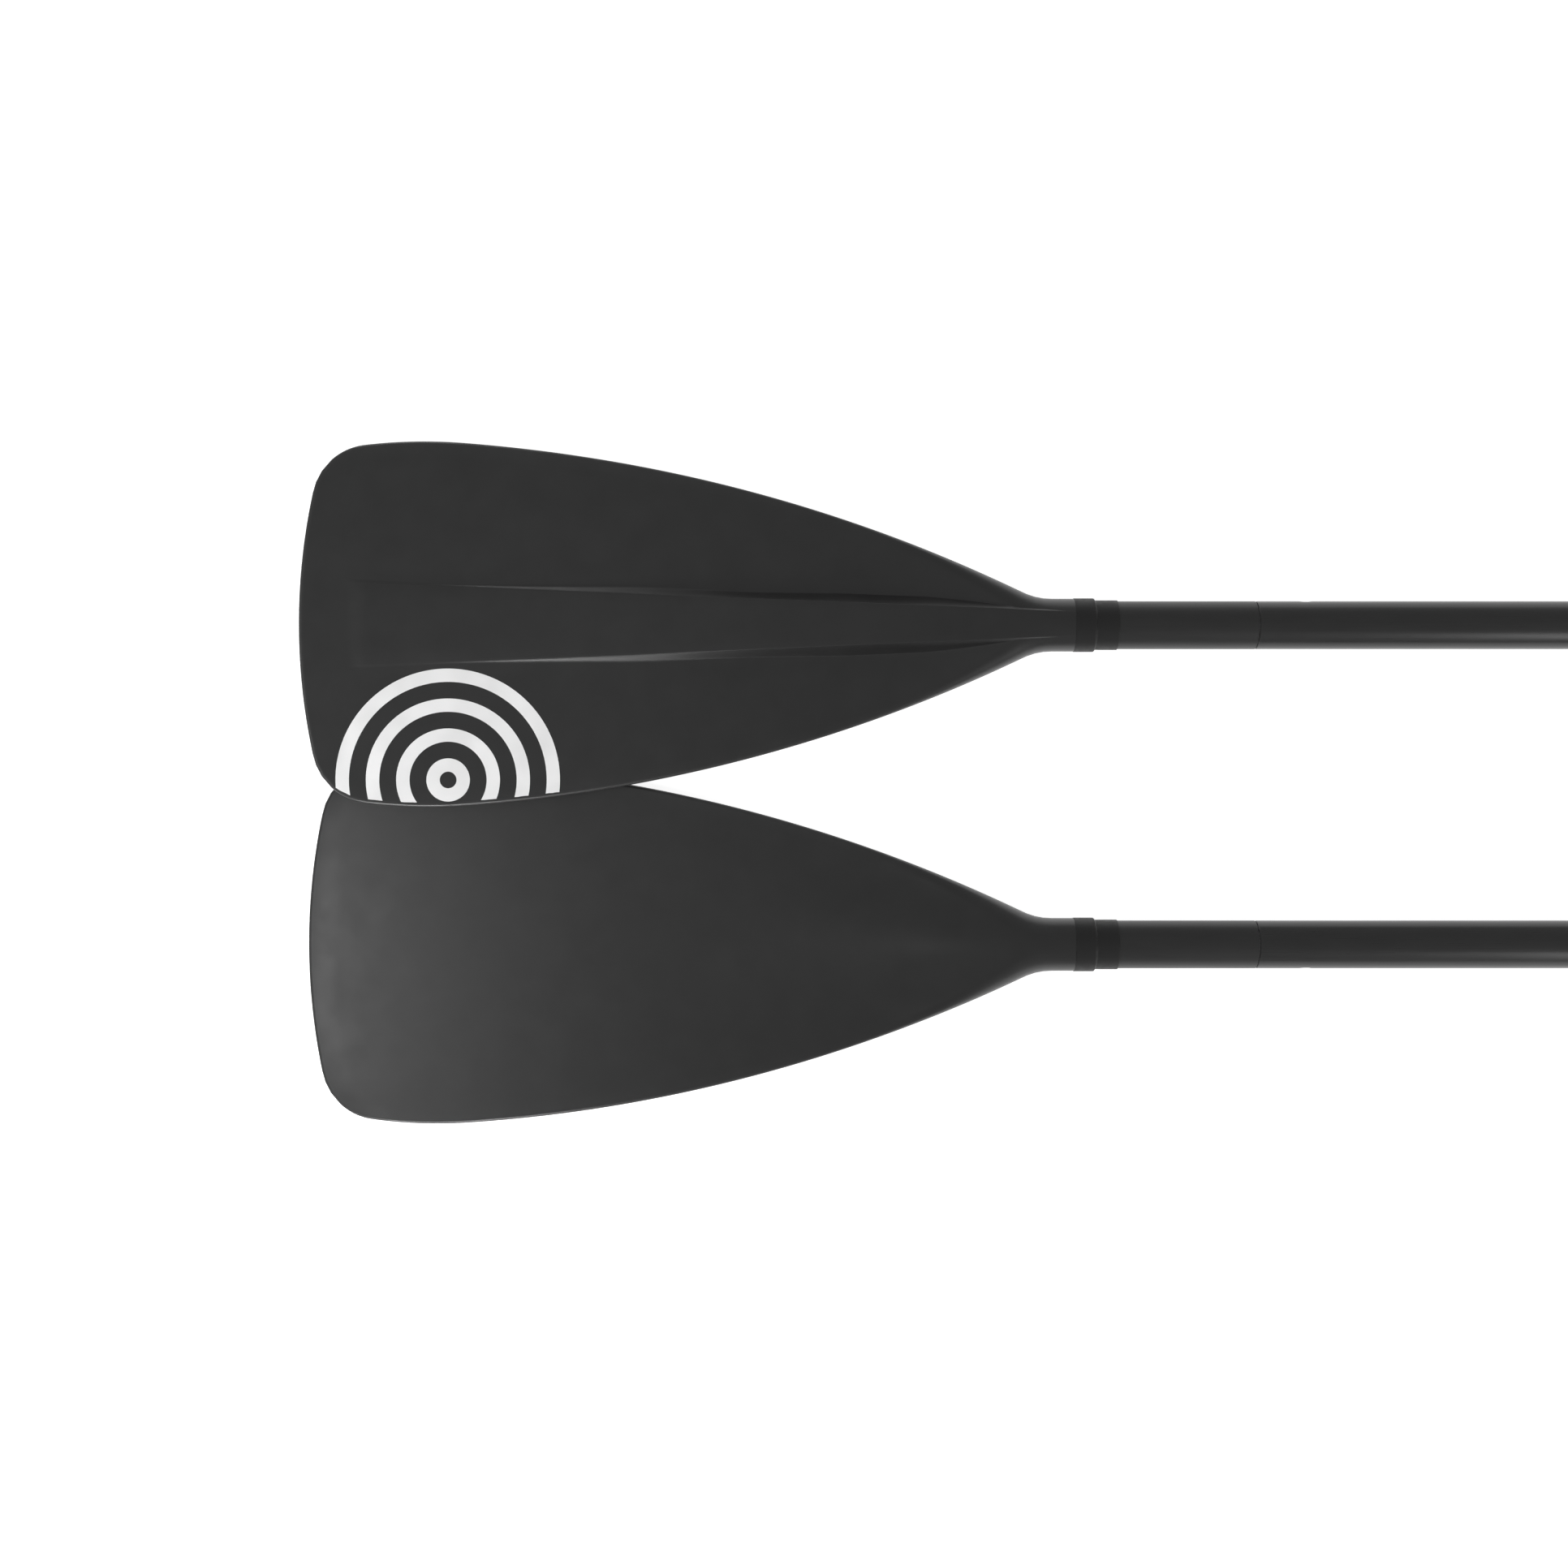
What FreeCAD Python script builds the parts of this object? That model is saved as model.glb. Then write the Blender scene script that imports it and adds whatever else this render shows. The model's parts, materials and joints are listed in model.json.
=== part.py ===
"""Take-apart kayak paddle, laid out as its two halves side by side.

Each half is a blade section (moulded blade, shrink sleeve, stub tube, inner ferrule and side button)
plugged into a main shaft. Half A lies back face up and ends in a socket. Half B lies power face up and
ends in the centre ferrule, whose button locks into one of the socket's three feather holes.

Frame of the whole part: X along the shafts with the blade tips at -X, Y across, Z up, origin at the
bottom centre of the bounding box. Frame of one half: x = 0 at the mouth of the blade's neck, on the
shaft's axis, with the blade towards -x and its back face towards +z.
"""
import FreeCAD
import Part
import math
import os

import Sketcher
from FreeCAD import Placement, Rotation, Vector

DIMENSIONS = (
    # layout
    ("neck_mouth_x", -111, "mouth of the blade necks"),
    ("axis_offset", 96.7, "each shaft's axis from the middle"),
    ("axis_height", 16.25, "each shaft's axis above the floor"),
    # blade
    ("blade_length", 478, "tip to neck mouth"),
    ("blade_half_width", 110, "axis to the widest point"),
    ("widest_from_tip", 77, "tip to the widest point"),
    ("tip_arc", 376, "radius across the tip"),
    ("corner_arc", 36, "radius of the tip's corners"),
    ("shoulder_arc", 300, "radius at the widest point"),
    ("shoulder_turn", 4, "degrees of the shoulder arc on the neck's side"),
    ("side_arc", 931, "radius of the long sides"),
    ("flare_arc", 38.3, "radius where the sides run into the neck"),
    ("bend_start", 270, "neck mouth to where the blade begins to curve"),
    ("lean_bend", 4.5, "middle surface off the axis, where the curve begins"),
    ("lean_tip", 14, "middle surface off the axis, at the tip"),
    ("skin_neck", 5, "blade thickness at the neck"),
    ("skin_bend", 4, "blade thickness where the curve begins"),
    ("skin_tip", 3.2, "blade thickness at the tip"),
    ("edge_round", 1, "rounding of the blade's edge"),
    ("waste_margin", 12, "cutting shapes reach this far past the blade"),
    # neck of the blade
    ("neck_radius", 16, "outside of the neck"),
    ("socket_radius", 14.55, "bore for the stub tube"),
    ("socket_depth", 45.5, "depth of that bore"),
    ("nose_start", 49, "the neck begins to taper"),
    ("nose_end", 135, "the neck's taper ends in the blade"),
    ("nose_tip_radius", 0.5, "radius at the taper's end"),
    ("nose_fall", 0.245, "share of the taper's drop in its first half"),
    # spine on the back face
    ("spine_root_x", 15, "neck mouth to the spine's first section"),
    ("spine_root_half_width", 7.3, "half width of the crest there"),
    ("spine_root_height", 13.4, "crest above the axis there"),
    ("spine_crown_x", 100, "neck mouth to the spine's full height"),
    ("spine_crown_half_width", 10.8, "half width of the crest there"),
    ("spine_crown_height", 15.4, "crest above the axis there"),
    ("spine_waist_x", 271, "neck mouth to where the spine is nearly flat"),
    ("spine_waist_half_width", 17.9, "half width of the crest there"),
    ("spine_waist_height", 9.2, "crest above the axis there"),
    ("spine_end_x", 443, "neck mouth to the spine's last section"),
    ("spine_end_half_width", 25, "half width of the crest there"),
    ("spine_end_height", 13.5, "crest above the axis there"),
    ("spine_slope", 0.5, "side wall's spread per unit of height"),
    # tubes
    ("tube_radius", 14.5, "outside of every shaft tube"),
    ("tube_bore", 13, "inside of every shaft tube"),
    ("tube_chamfer", 0.4, "chamfer at the tube ends"),
    ("stub_in_neck", 45, "stub tube inside the neck"),
    ("seam_x", 98.4, "neck mouth to the seam"),
    ("seam_gap", 0.4, "gap between stub tube and main shaft"),
    ("shaft_end", 620, "neck mouth to the end of the main shaft"),
    # shrink sleeve over the neck's step
    ("sleeve_on_neck", 11.8, "sleeve's length on the neck"),
    ("sleeve_on_tube", 14.5, "sleeve's length on the tube"),
    ("sleeve_neck_radius", 16.25, "sleeve's outside on the neck"),
    ("sleeve_tube_radius", 15.03, "sleeve's outside on the tube"),
    ("sleeve_lip", 0.3, "sleeve's end wall over the neck's mouth"),
    ("sleeve_step", 0.9, "length of the sleeve's slope"),
    ("sleeve_fit", 0.02, "gap under the sleeve"),
    # blade ferrule
    ("ferrule_radius", 12.9, "outside of every bonded ferrule"),
    ("blade_ferrule_bore", 11, "inside of the blade ferrule"),
    ("blade_ferrule_bond", 45, "blade ferrule inside the stub tube"),
    ("blade_ferrule_reach", 65, "blade ferrule inside the main shaft"),
    ("blade_button_x", 30, "seam to the blade button"),
    # centre ferrule
    ("centre_bond", 60, "centre ferrule inside its own shaft"),
    ("centre_reach", 80, "centre ferrule past its shaft's end"),
    ("centre_radius", 11.95, "outside of the centre ferrule"),
    ("centre_bore", 9.4, "inside of the centre ferrule"),
    ("centre_lead", 1.5, "lead-in chamfer of the centre ferrule"),
    ("centre_button_x", 40, "shaft's end to the centre button"),
    ("seal_x", 12, "shaft's end to the seal"),
    ("seal_groove_radius", 10.55, "bottom of the seal's groove"),
    ("seal_groove_half", 0.9, "half width of the seal's groove"),
    ("seal_ring_radius", 11.24, "seal's axis to the middle of its cord"),
    ("seal_cord_radius", 0.66, "radius of the seal's cord"),
    ("end_plug_radius", 9.3, "plug that closes the centre ferrule"),
    ("end_plug_length", 8, "length of that plug"),
    # socket in half A
    ("socket_bore", 12, "inside of the socket liner"),
    ("socket_length", 100, "length of the socket liner"),
    ("bulkhead_length", 10, "plug behind the socket liner"),
    ("end_gap", 0.3, "gap left between the joined shafts"),
    ("feather_step", 60, "degrees between the feather holes"),
    ("feather_holes", 3, "number of feather holes"),
    # snap buttons
    ("button_radius", 3.9, "stem of a button"),
    ("button_hole", 4.05, "ferrule's hole for a button"),
    ("lock_hole", 4.4, "shaft's hole that a button locks into"),
    ("button_round", 1.2, "rounding of a button's head"),
    ("flange_radius", 5, "flange that holds a button in"),
    ("flange_thickness", 1.2, "thickness of that flange"),
    ("blade_button_top", 14.1, "blade button's head from the axis"),
    ("blade_flange_top", 9.6, "blade button's flange from the axis"),
    ("centre_button_top", 15.3, "centre button's head from the axis"),
    ("centre_flange_top", 7.8, "centre button's flange from the axis"),
    ("spring_sheet", 0.5, "thickness of a button spring"),
    ("spring_half_width", 3, "half width of a button spring"),
    ("spring_back", 22, "button to the spring's bend"),
    ("spring_foot", 6, "spring's lower arm past the button"),
    ("spring_stagger", 1, "upper arm shorter than the lower one"),
    ("spring_gap", 0.1, "gap at each end of a spring"),
    ("blade_spring_depth", 10.4, "blade spring's foot from the axis"),
    ("centre_spring_depth", 8.7, "centre spring's foot from the axis"),
    # floats
    ("float_radius", 12.6, "foam float"),
    ("float_start", 300, "neck mouth to the float"),
    ("float_length", 150, "length of the float"),
)

TINY = 1e-9
SAME_PLACE = 1e-3
UP = Vector(0, 0, 1)
ALONG_X = Rotation(Vector(0, 1, 0), 90)
TO_SIDE = Rotation(Vector(1, 0, 0), -90)
TO_POWER_FACE = Rotation(Vector(1, 0, 0), 180)
AS_BUILT = Rotation()
# Half A lies as built. Half B is turned over.
HALVES = {"a": (1, AS_BUILT), "b": (-1, Rotation(Vector(1, 0, 0), 180))}

doc = FreeCAD.newDocument("kayak_paddle")
sheet = doc.addObject("Spreadsheet::Sheet", "dims")
for row, (name, number, note) in enumerate(DIMENSIONS, start=1):
    sheet.set(f"A{row}", note)
    sheet.set(f"B{row}", str(number))
    sheet.setAlias(f"B{row}", name)
doc.recompute()

parts = []


# ---------------------------------------------------------------- shared helpers

def value(expression):
    """Number that an expression of the sheet's aliases gives now."""
    return float(sheet.evalExpression(expression))


def bound(expression):
    """The same expression as another object reads it."""
    names = sorted((row[0] for row in DIMENSIONS), key=len, reverse=True)
    words = []
    token = ""
    for letter in expression + " ":
        if letter.isalnum() or letter == "_":
            token += letter
            continue
        words.append("dims." + token if token in names else token)
        words.append(letter)
        token = ""
    return "".join(words).strip()


def spot(x, y):
    return Vector(value(x), value(y), 0)


def origin_plane(body, role):
    return next(plane for plane in body.Origin.OriginFeatures if plane.Role == role)


def new_body(label):
    body = doc.addObject("PartDesign::Body", label)
    body.Label = label
    return body


def new_sketch(body, role, name, turn=0):
    """Sketch on one of the body's origin planes, turned about the body's X axis."""
    sketch = body.newObject("Sketcher::SketchObject", name)
    sketch.AttachmentSupport = [(origin_plane(body, role), "")]
    sketch.MapMode = "FlatFace"
    sketch.AttachmentOffset = Placement(Vector(), Rotation(Vector(1, 0, 0), turn))
    return sketch


def hold(sketch, direction, edge, point, expression):
    """Keep a point of an edge at a driven distance from the sketch's origin."""
    number = value(expression)
    if abs(number) < TINY:
        axis = -2 if direction == "X" else -1
        sketch.addConstraint(Sketcher.Constraint("PointOnObject", edge, point, axis))
        return
    rule = Sketcher.Constraint("Distance" + direction, -1, 1, edge, point, number)
    index = sketch.addConstraint(rule)
    sketch.setExpression(f"Constraints[{index}]", bound(expression))


def hold_spot(sketch, edge, point, corner):
    hold(sketch, "X", edge, point, corner[0])
    hold(sketch, "Y", edge, point, corner[1])


def hold_radius(sketch, edge, expression):
    rule = Sketcher.Constraint("Radius", edge, value(expression))
    index = sketch.addConstraint(rule)
    sketch.setExpression(f"Constraints[{index}]", bound(expression))


def near_end(sketch, edge, place):
    """1 or 2: which end of the edge lies at the place."""
    gaps = [(sketch.getPoint(edge, end) - place).Length for end in (1, 2)]
    return 1 if gaps[0] <= gaps[1] else 2


def draw_loop(sketch, corners):
    """Closed loop of driven corners (x, y). An arc ends at a corner (x, y, via_x, via_y)."""
    places = [spot(*corner[:2]) for corner in corners]
    count = len(corners)
    for i, corner in enumerate(corners):
        if len(corner) == 2:
            edge = Part.LineSegment(places[i - 1], places[i])
        else:
            edge = Part.Arc(places[i - 1], spot(*corner[2:]), places[i])
        sketch.addGeometry(edge)
    for i, corner in enumerate(corners):
        after = (i + 1) % count
        this_end = near_end(sketch, i, places[i])
        next_start = near_end(sketch, after, places[i])
        rule = Sketcher.Constraint("Coincident", i, this_end, after, next_start)
        sketch.addConstraint(rule)
        hold_spot(sketch, i, this_end, corner[:2])
        if len(corner) == 4:
            via = sketch.addGeometry(Part.Point(spot(*corner[2:])), True)
            sketch.addConstraint(Sketcher.Constraint("PointOnObject", via, 1, i))
            hold_spot(sketch, via, 1, corner[2:])


def draw_circle(sketch, x, y, radius):
    circle = Part.Circle(spot(x, y), UP, value(radius))
    edge = sketch.addGeometry(circle)
    hold_spot(sketch, edge, 3, (x, y))
    hold_radius(sketch, edge, radius)


def add_turned(body, name, corners, axis="H_Axis"):
    """Revolution of a loop drawn in the XZ plane about its own horizontal or vertical axis."""
    sketch = new_sketch(body, "XZ_Plane", name + "_profile")
    draw_loop(sketch, corners)
    spin = body.newObject("PartDesign::Revolution", name + "_turned")
    spin.Profile = sketch
    spin.ReferenceAxis = (sketch, [axis])
    spin.Angle = 360
    return spin


def add_radial_hole(body, name, x, radius, turn=0):
    """Hole through one wall of a tube. It faces -Z, or turned from there towards +Y."""
    sketch = new_sketch(body, "XY_Plane", name + "_circle", turn)
    draw_circle(sketch, x, "0", radius)
    hole = body.newObject("PartDesign::Pocket", name)
    hole.Profile = sketch
    hole.setExpression("Length", bound("tube_radius + waste_margin"))
    return hole


def place(part, side, x, spin=AS_BUILT):
    """Put a part of one half where it belongs, by its distance from the neck mouth."""
    sign, half_turn = HALVES[side]
    part.Placement = Placement(Vector(), half_turn * spin)
    part.setExpression("Placement.Base.x", bound(f"neck_mouth_x + {x}"))
    part.setExpression("Placement.Base.y", bound(f"{sign} * axis_offset"))
    part.setExpression("Placement.Base.z", bound("axis_height"))
    parts.append(part)


# ---------------------------------------------------------------- blade

def blade_side_joints():
    """Centres and meeting points of the blade edge's tangent arcs, from the tip to the neck."""
    tip, corner = value("tip_arc"), value("corner_arc")
    shoulder, side, flare = value("shoulder_arc"), value("side_arc"), value("flare_arc")
    turn = math.radians(value("shoulder_turn"))
    tip_x = -value("blade_length")
    tip_centre = Vector(tip_x + tip, 0, 0)
    shoulder_centre = Vector(tip_x + value("widest_from_tip"), value("blade_half_width") - shoulder, 0)
    # The corner's circle touches the tip's and the shoulder's from inside.
    between = shoulder_centre - tip_centre
    gap = between.Length
    to_tip, to_shoulder = tip - corner, shoulder - corner
    along = (to_tip**2 - to_shoulder**2 + gap**2) / (2 * gap)
    across = Vector(between.y, -between.x, 0) * (math.sqrt(to_tip**2 - along**2) / gap)
    corner_centre = tip_centre + between * (along / gap) + across
    outward = Vector(math.sin(turn), math.cos(turn), 0)
    side_centre = shoulder_centre - outward * (side - shoulder)
    # The flare's circle touches the side's from outside and the neck's straight edge.
    flare_y = value("neck_radius") + flare
    reach = math.sqrt((side + flare) ** 2 - (flare_y - side_centre.y) ** 2)
    flare_centre = Vector(side_centre.x + reach, flare_y, 0)
    tip_joint = tip_centre + (corner_centre - tip_centre).normalize() * tip
    corner_joint = shoulder_centre + (corner_centre - shoulder_centre).normalize() * shoulder
    shoulder_joint = shoulder_centre + outward * shoulder
    side_joint = side_centre + (flare_centre - side_centre).normalize() * side
    neck_joint = Vector(flare_centre.x, value("neck_radius"), 0)
    centres = (tip_centre, corner_centre, shoulder_centre, side_centre, flare_centre)
    joints = (Vector(tip_x, 0, 0), tip_joint, corner_joint, shoulder_joint, side_joint, neck_joint)
    return centres, joints


def arc_between(centre, start, end):
    """Arc about a centre from one point to another, the short way round."""
    radius = (start - centre).Length
    middle = ((start - centre).normalize() + (end - centre).normalize()).normalize()
    return Part.Arc(start, centre + middle * radius, end)


def draw_blade_waste(sketch):
    """Everything outside one side of the blade's outline."""
    centres, joints = blade_side_joints()
    names = ("tip_arc", "corner_arc", "shoulder_arc", "side_arc", "flare_arc")
    for centre, start, end in zip(centres, joints, joints[1:]):
        sketch.addGeometry(arc_between(centre, start, end))
    for edge, name in enumerate(names):
        hold_radius(sketch, edge, name)
    for edge in range(len(names) - 1):
        ends = (near_end(sketch, edge, joints[edge + 1]), near_end(sketch, edge + 1, joints[edge + 1]))
        rule = Sketcher.Constraint("Tangent", edge, ends[0], edge + 1, ends[1])
        sketch.addConstraint(rule)
    sketch.addConstraint(Sketcher.Constraint("PointOnObject", 0, 3, -1))
    hold_spot(sketch, 0, near_end(sketch, 0, joints[0]), ("-blade_length", "0"))
    hold_spot(sketch, 2, 3, ("widest_from_tip - blade_length", "blade_half_width - shoulder_arc"))
    shoulder_end = "widest_from_tip - blade_length + shoulder_arc * sin(shoulder_turn * 1 deg)"
    hold(sketch, "X", 2, near_end(sketch, 2, joints[3]), shoulder_end)
    # The frame round the waste, from the neck back to the tip.
    corners = (
        ("waste_margin", "neck_radius"),
        ("waste_margin", "blade_half_width + waste_margin"),
        ("-blade_length - waste_margin", "blade_half_width + waste_margin"),
        ("-blade_length - waste_margin", "0"),
    )
    places = [joints[-1]] + [spot(*corner) for corner in corners] + [joints[0]]
    first = len(names)
    for start, end in zip(places, places[1:]):
        sketch.addGeometry(Part.LineSegment(start, end))
    neck_end = near_end(sketch, first - 1, joints[-1])
    sketch.addConstraint(Sketcher.Constraint("Tangent", first - 1, neck_end, first, 1))
    sketch.addConstraint(Sketcher.Constraint("Horizontal", first))
    for offset, corner in enumerate(corners):
        edge = first + offset
        sketch.addConstraint(Sketcher.Constraint("Coincident", edge, 2, edge + 1, 1))
        hold_spot(sketch, edge, 2, corner)
    tip_end = near_end(sketch, 0, joints[0])
    sketch.addConstraint(Sketcher.Constraint("Coincident", first + len(corners), 2, 0, tip_end))


def straight_surface(x):
    """Height of the blade's middle surface between the neck and the bend."""
    return f"(lean_bend * ({x}) / bend_start)"


def bent_surface(x):
    """Height of the blade's middle surface between the bend and the tip."""
    run = f"(({x}) - bend_start)"
    full = "(blade_length - bend_start)"
    rise = "(lean_tip - lean_bend * blade_length / bend_start)"
    return f"({straight_surface(x)} + {rise} * {run} * {run} / ({full} * {full}))"


def add_skin(body):
    """Thin sheet between the power face and the back face, straight and then curved, square in plan."""
    sketch = new_sketch(body, "XZ_Plane", "skin_profile")
    middle = "-(bend_start + blade_length) / 2"
    back_via = f"{bent_surface('(bend_start + blade_length) / 2')} + (skin_bend + skin_tip) / 4"
    power_via = f"{bent_surface('(bend_start + blade_length) / 2')} - (skin_bend + skin_tip) / 4"
    root_lean = "lean_bend * spine_root_x / bend_start"
    draw_loop(sketch, (
        ("-spine_root_x", f"{root_lean} + skin_neck / 2"),
        ("-bend_start", "lean_bend + skin_bend / 2"),
        ("-blade_length", "lean_tip + skin_tip / 2", middle, back_via),
        ("-blade_length", "lean_tip - skin_tip / 2"),
        ("-bend_start", "lean_bend - skin_bend / 2", middle, power_via),
        ("-spine_root_x", f"{root_lean} - skin_neck / 2"),
    ))
    skin = body.newObject("PartDesign::Pad", "skin")
    skin.Profile = sketch
    skin.Midplane = True
    skin.setExpression("Length", bound("2 * blade_half_width + waste_margin"))


def trim_skin(body):
    sketch = new_sketch(body, "XY_Plane", "edge_outline")
    draw_blade_waste(sketch)
    trim = body.newObject("PartDesign::Pocket", "edge_cut")
    trim.Profile = sketch
    trim.Type = "ThroughAll"
    trim.Midplane = True
    other = body.newObject("PartDesign::Mirrored", "edge_cut_other_side")
    other.Originals = [trim]
    other.MirrorPlane = (origin_plane(body, "XZ_Plane"), [""])
    body.Tip = other
    doc.recompute()
    return other


def round_edges(body, trimmed):
    """Round the blade's rim on both faces, away from the neck."""
    rim = []
    neck_side = -value("spine_root_x")
    for number, edge in enumerate(trimmed.Shape.Edges, start=1):
        box = edge.BoundBox
        stands_upright = box.XLength + box.YLength < value("skin_neck")
        ends_the_skin = box.XMin > neck_side - SAME_PLACE
        if not (stands_upright or ends_the_skin):
            rim.append(f"Edge{number}")
    soft = body.newObject("PartDesign::Fillet", "rim_round")
    soft.Base = (trimmed, rim)
    soft.setExpression("Radius", bound("edge_round"))


def add_spine(body):
    """Raised spine on the back face: trapezium sections from inside the neck to near the tip."""
    sections = [
        add_spine_section(body, "root", straight_surface("spine_root_x")),
        add_spine_section(body, "crown", straight_surface("spine_crown_x")),
        add_spine_section(body, "waist", bent_surface("spine_waist_x")),
        add_spine_section(body, "end", bent_surface("spine_end_x")),
    ]
    spine = body.newObject("PartDesign::AdditiveLoft", "spine")
    spine.Profile = sections[0]
    spine.Sections = sections[1:]
    spine.Ruled = True


def add_spine_section(body, name, bottom):
    """One trapezium across the spine, from the blade's middle surface up to the crest."""
    sketch = new_sketch(body, "YZ_Plane", f"spine_{name}")
    sketch.setExpression("AttachmentOffset.Base.z", bound(f"-spine_{name}_x"))
    half, top = f"spine_{name}_half_width", f"spine_{name}_height"
    foot = f"({half} + spine_slope * ({top} - {bottom}))"
    draw_loop(sketch, (
        (foot, bottom),
        (half, top),
        (f"-{half}", top),
        (f"-{foot}", bottom),
    ))
    return sketch


def add_neck(body):
    """Round neck that tapers into the blade, bored for the stub tube."""
    nose_middle = "-(nose_start + nose_end) / 2"
    drop = "(neck_radius - nose_tip_radius)"
    add_turned(body, "neck", (
        ("0", "0"),
        ("0", "neck_radius"),
        ("-nose_start", "neck_radius"),
        ("-nose_end", "nose_tip_radius", nose_middle, f"neck_radius - nose_fall * {drop}"),
        ("-nose_end", "0"),
    ))
    sketch = new_sketch(body, "YZ_Plane", "tube_socket_circle")
    draw_circle(sketch, "0", "0", "socket_radius")
    bore = body.newObject("PartDesign::Pocket", "tube_socket")
    bore.Profile = sketch
    bore.setExpression("Length", bound("socket_depth"))


def make_blade(side):
    body = new_body(f"blade_{side}")
    add_skin(body)
    trimmed = trim_skin(body)
    round_edges(body, trimmed)
    add_spine(body)
    add_neck(body)
    place(body, side, "0")


# ---------------------------------------------------------------- shaft pieces

def make_sleeve(side):
    """Shrink sleeve over the step from the neck to the tube."""
    body = new_body(f"neck_sleeve_{side}")
    inner_neck = "neck_radius + sleeve_fit"
    inner_tube = "tube_radius + sleeve_fit"
    add_turned(body, "sleeve", (
        ("-sleeve_on_neck", inner_neck),
        ("-sleeve_on_neck", "sleeve_neck_radius"),
        ("sleeve_fit + sleeve_lip", "sleeve_neck_radius"),
        ("sleeve_fit + sleeve_step", "sleeve_tube_radius"),
        ("sleeve_on_tube", "sleeve_tube_radius"),
        ("sleeve_on_tube", inner_tube),
        ("sleeve_fit", inner_tube),
        ("sleeve_fit", inner_neck),
    ))
    place(body, side, "0")


def add_tube(body, length):
    add_turned(body, "tube", (
        ("0", "tube_bore"),
        ("0", "tube_radius - tube_chamfer"),
        ("tube_chamfer", "tube_radius"),
        (f"{length} - tube_chamfer", "tube_radius"),
        (length, "tube_radius - tube_chamfer"),
        (length, "tube_bore"),
    ))


def make_stub_tube(side):
    body = new_body(f"stub_tube_{side}")
    add_tube(body, "(stub_in_neck + seam_x)")
    place(body, side, "-stub_in_neck")


def make_main_shaft(side):
    """Main shaft, with the blade button's hole and, in half A, the feather holes."""
    body = new_body(f"main_shaft_{side}")
    add_tube(body, "(shaft_end - seam_x - seam_gap)")
    add_radial_hole(body, "blade_button_hole", "blade_button_x - seam_gap", "lock_hole", 90)
    if side == "a":
        add_feather_holes(body, "shaft_end - seam_x - seam_gap - centre_button_x + end_gap")
    place(body, side, "seam_x + seam_gap")


def add_feather_holes(body, x):
    """The row of holes round the tube that the centre button can lock into."""
    spread = value("feather_step") * (value("feather_holes") - 1)
    first = add_radial_hole(body, "first_feather_hole", x, "lock_hole", -spread / 2)
    row = body.newObject("PartDesign::PolarPattern", "feather_holes")
    row.Originals = [first]
    row.Axis = (origin_plane(body, "X_Axis"), [""])
    row.setExpression("Angle", bound("feather_step * (feather_holes - 1)"))
    row.setExpression("Occurrences", bound("feather_holes"))
    body.Tip = row


def make_blade_ferrule(side):
    body = new_body(f"blade_ferrule_{side}")
    length = "(blade_ferrule_bond + blade_ferrule_reach)"
    add_turned(body, "ferrule", (
        ("0", "blade_ferrule_bore"),
        ("0", "ferrule_radius"),
        (f"{length} - centre_lead", "ferrule_radius"),
        (length, "ferrule_radius - centre_lead / 2"),
        (length, "blade_ferrule_bore"),
    ))
    add_radial_hole(body, "button_hole", "blade_ferrule_bond + blade_button_x", "button_hole", 90)
    place(body, side, "seam_x - blade_ferrule_bond")


def make_socket_liner():
    """Moulded liner of half A's open end, which the centre ferrule slides into."""
    body = new_body("socket_liner")
    add_turned(body, "liner", (
        ("0", "socket_bore"),
        ("0", "ferrule_radius"),
        ("socket_length", "ferrule_radius"),
        ("socket_length", "socket_bore"),
    ))
    add_feather_holes(body, "socket_length - centre_button_x + end_gap")
    place(body, "a", "shaft_end - socket_length")


def make_centre_ferrule():
    """Ferrule bonded into half B's shaft, with the seal's groove and the button's hole."""
    body = new_body("centre_ferrule")
    end = "(centre_bond + centre_reach)"
    groove = "(centre_bond + seal_x)"
    add_turned(body, "ferrule", (
        ("0", "centre_bore"),
        ("0", "ferrule_radius"),
        ("centre_bond", "ferrule_radius"),
        ("centre_bond", "centre_radius"),
        (f"{groove} - seal_groove_half", "centre_radius"),
        (f"{groove} - seal_groove_half", "seal_groove_radius"),
        (f"{groove} + seal_groove_half", "seal_groove_radius"),
        (f"{groove} + seal_groove_half", "centre_radius"),
        (f"{end} - centre_lead", "centre_radius"),
        (end, "centre_radius - centre_lead / 2"),
        (end, "centre_bore"),
    ))
    add_radial_hole(body, "button_hole", "centre_bond + centre_button_x", "button_hole")
    place(body, "b", "shaft_end - centre_bond")


# ---------------------------------------------------------------- buttons and their springs

def make_button(label, side, x, top, flange_top, spin):
    """Round button with a flange that keeps it behind the ferrule's wall."""
    body = new_body(label)
    under = f"({flange_top} - flange_thickness)"
    turned = add_turned(body, "button", (
        ("0", under),
        ("flange_radius", under),
        ("flange_radius", flange_top),
        ("button_radius", flange_top),
        ("button_radius", top),
        ("0", top),
    ), axis="V_Axis")
    doc.recompute()
    head = [
        f"Edge{number}"
        for number, edge in enumerate(turned.Shape.Edges, start=1)
        if edge.BoundBox.ZMin > value(top) - SAME_PLACE
    ]
    soft = body.newObject("PartDesign::Fillet", "head_round")
    soft.Base = (turned, head)
    soft.setExpression("Radius", bound("button_round"))
    place(body, side, x, spin)


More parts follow.
